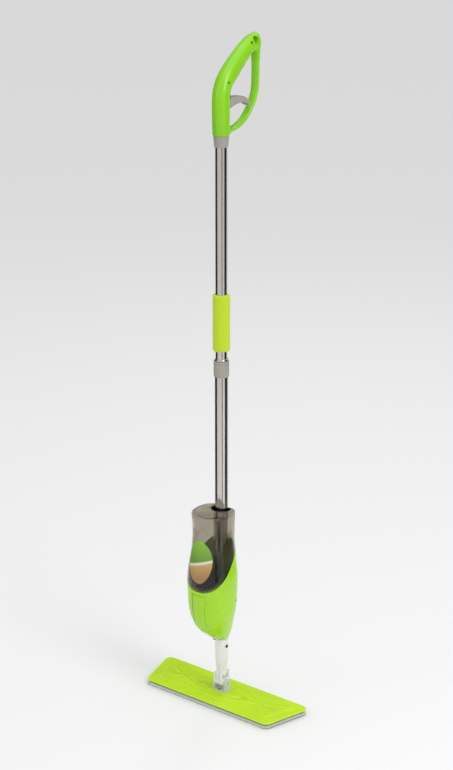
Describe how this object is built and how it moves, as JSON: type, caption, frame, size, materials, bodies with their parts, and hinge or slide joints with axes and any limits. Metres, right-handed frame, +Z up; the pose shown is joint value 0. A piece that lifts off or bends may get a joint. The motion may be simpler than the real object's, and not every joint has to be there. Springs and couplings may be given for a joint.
{
  "type": "spray flat mop",
  "caption": "Flat floor mop with a pump-spray pole: loop handle with trigger, foam grip, clip-in smoky bottle in a slanted housing, and a swivelling trapezoid head with a microfibre pad.",
  "frame": {"origin": "centre of the hanging hole through the top of the handle", "axes": "+Z up along the pole, -Y the front with the bottle and the spray nozzle, +Y the side of the trigger loop, +X along the hanging hole and the head's long edge"},
  "size_m": [0.356, 0.1805, 1.3119],
  "materials": {
    "lime": "glossy injection-moulded plastic",
    "head_lime": "semi-gloss moulded plastic",
    "grey": "satin warm grey plastic",
    "pale_grey": "satin pale grey plastic",
    "chrome": "chrome-plated steel tube",
    "steel": "plain steel",
    "foam": "closed-cell foam grip",
    "white": "white moulded plastic",
    "black": "satin charcoal plastic",
    "red": "red moulded plastic",
    "seal": "soft rubber",
    "hose": "soft clear hose",
    "bottle": "smoky transparent plastic",
    "label": null,
    "foam_backing": "dark foam sheet",
    "hook_tape": "hook tape",
    "microfibre": "looped microfibre"
  },
  "bodies": {
    "root": {"handle_left": "lime", "handle_right": "lime", "handle_screws": "steel", "handle_ferrule": "grey", "upper_tube": "chrome", "foam_grip": "foam", "tube_end_plug": "white", "rod_guide": "white", "trigger_pin": "steel", "rod_spring": "steel", "pole_socket": "grey", "lower_tube": "chrome", "housing_left": "lime", "housing_right": "lime", "front_strip": "lime", "housing_screws": "steel", "nozzle_bezel": "white", "spray_nozzle": "red", "bottle_receiver": "black", "receiver_seal": "seal", "pump_body": "white", "inlet_hose": "hose", "outlet_hose": "hose", "pump_spring": "steel", "head_spigot": "lime", "neck": "white"},
    "trigger": {"trigger": "grey"},
    "upper_rod": {"upper_push_rod": "steel", "rod_head": "white", "rod_tip": "black"},
    "lower_rod": {"push_cup": "white", "lower_push_rod": "steel", "pump_plunger": "white", "pump_seal": "seal"},
    "pole_button": {"pole_button": "steel", "pole_button_leaf": "steel"},
    "spigot_button": {"spigot_button": "black", "spigot_button_leaf": "steel"},
    "bottle": {"bottle": "bottle", "bottle_label": "label", "neck_ring": "black"},
    "cap": {"cap": "black", "cap_seal": "seal", "valve_spring": "steel"},
    "valve": {"valve_plunger": "white"},
    "yoke": {"yoke": "white", "yoke_pin": "steel"},
    "head": {"pivot_block": "pale_grey", "pivot_axle": "steel", "pivot_screws": "steel", "head_plate": "head_lime", "head_base": "foam_backing", "hook_strips": "hook_tape", "mop_pad": "microfibre"}
  },
  "joints": [
    {"name": "trigger_pull", "type": "hinge", "parent": "root", "child": "trigger", "pos_m": [0, -0.074, -0.084], "axis": [1, 0, 0], "range_deg": [0, 25], "stiffness_Nm_per_rad": 0.35, "springref_deg": -22.92},
    {"name": "upper_rod_push", "type": "slide", "parent": "root", "child": "upper_rod", "axis": [0, 0, -1], "range_m": [0, 0.0061], "deforming": ["rod_spring"]},
    {"name": "lower_rod_push", "type": "slide", "parent": "root", "child": "lower_rod", "axis": [0, 0, -1], "range_m": [0, 0.0061], "deforming": ["pump_spring"]},
    {"name": "pole_button_press", "type": "slide", "parent": "root", "child": "pole_button", "axis": [0, -1, 0], "range_m": [0, 0.004], "stiffness_N_per_m": 400, "springref_m": -0.004},
    {"name": "spigot_button_press", "type": "slide", "parent": "root", "child": "spigot_button", "axis": [-1, 0, 0], "range_m": [0, 0.0035], "stiffness_N_per_m": 400, "springref_m": -0.004},
    {"name": "bottle_lift", "type": "slide", "parent": "root", "child": "bottle", "axis": [0, 0, 1], "range_m": [0, 0.08]},
    {"name": "cap_turn", "type": "hinge", "parent": "bottle", "child": "cap", "pos_m": [0, -0.131, -1.086], "axis": [0, 0, 1], "continuous": true},
    {"name": "valve_press", "type": "slide", "parent": "cap", "child": "valve", "axis": [0, 0, 1], "range_m": [0, 0.0015], "stiffness_N_per_m": 150, "springref_m": -0.004, "deforming": ["valve_spring"]},
    {"name": "neck_roll", "type": "hinge", "parent": "root", "child": "yoke", "pos_m": [0, -0.088, -1.242], "axis": [0, 1, 0], "range_deg": [-60, 60]},
    {"name": "head_pitch", "type": "hinge", "parent": "yoke", "child": "head", "pos_m": [0, -0.088, -1.264], "axis": [1, 0, 0], "range_deg": [-60, 85]}
  ],
  "couplings": [
    {"joint": "upper_rod_push", "follows": "trigger_pull", "m_per_rad": 0.0138},
    {"joint": "lower_rod_push", "follows": "trigger_pull", "m_per_rad": 0.0138}
  ]
}
